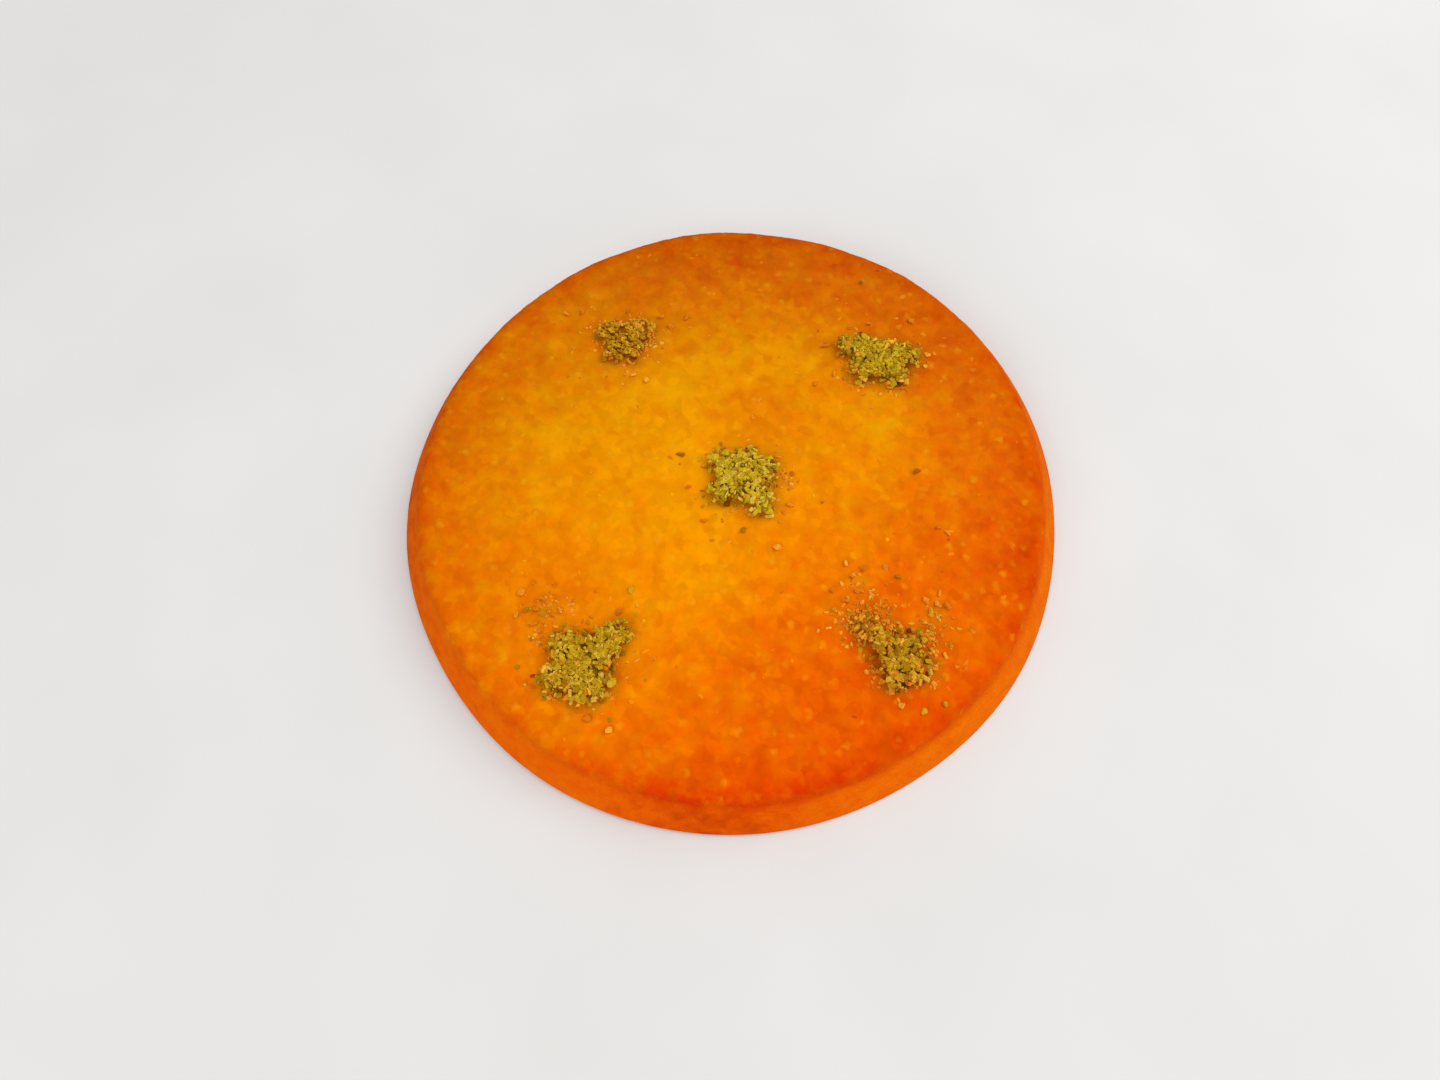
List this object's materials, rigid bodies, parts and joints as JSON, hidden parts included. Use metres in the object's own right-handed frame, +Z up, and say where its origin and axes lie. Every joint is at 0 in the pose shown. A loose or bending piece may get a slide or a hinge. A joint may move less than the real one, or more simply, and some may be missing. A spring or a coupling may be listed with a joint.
{
  "type": "kunafa",
  "caption": "Flat round cheese pastry with an orange browned crust, its side sloping out to the foot, dressed with low heaps of ground pistachio and loose crumbs.",
  "frame": {"origin": "middle of the pastry, on the surface that it rests on", "axes": "+Z up through the thickness, -Y towards the viewer of the picture, +X to the viewer's right"},
  "size_m": [0.2602, 0.2598, 0.0229],
  "materials": {
    "crust": "fine-ground pastry crust, orange with a browned edge, moist with syrup",
    "pistachio": "raw ground pistachio, yellow-green to olive with pale and brown bits"
  },
  "bodies": {
    "root": {"kunafa": "crust", "pistachio_heap_centre": "pistachio", "pistachio_heap_back_left": "pistachio", "pistachio_heap_back_right": "pistachio", "pistachio_heap_front_left": "pistachio", "pistachio_heap_front_right": "pistachio"}
  },
  "joints": []
}
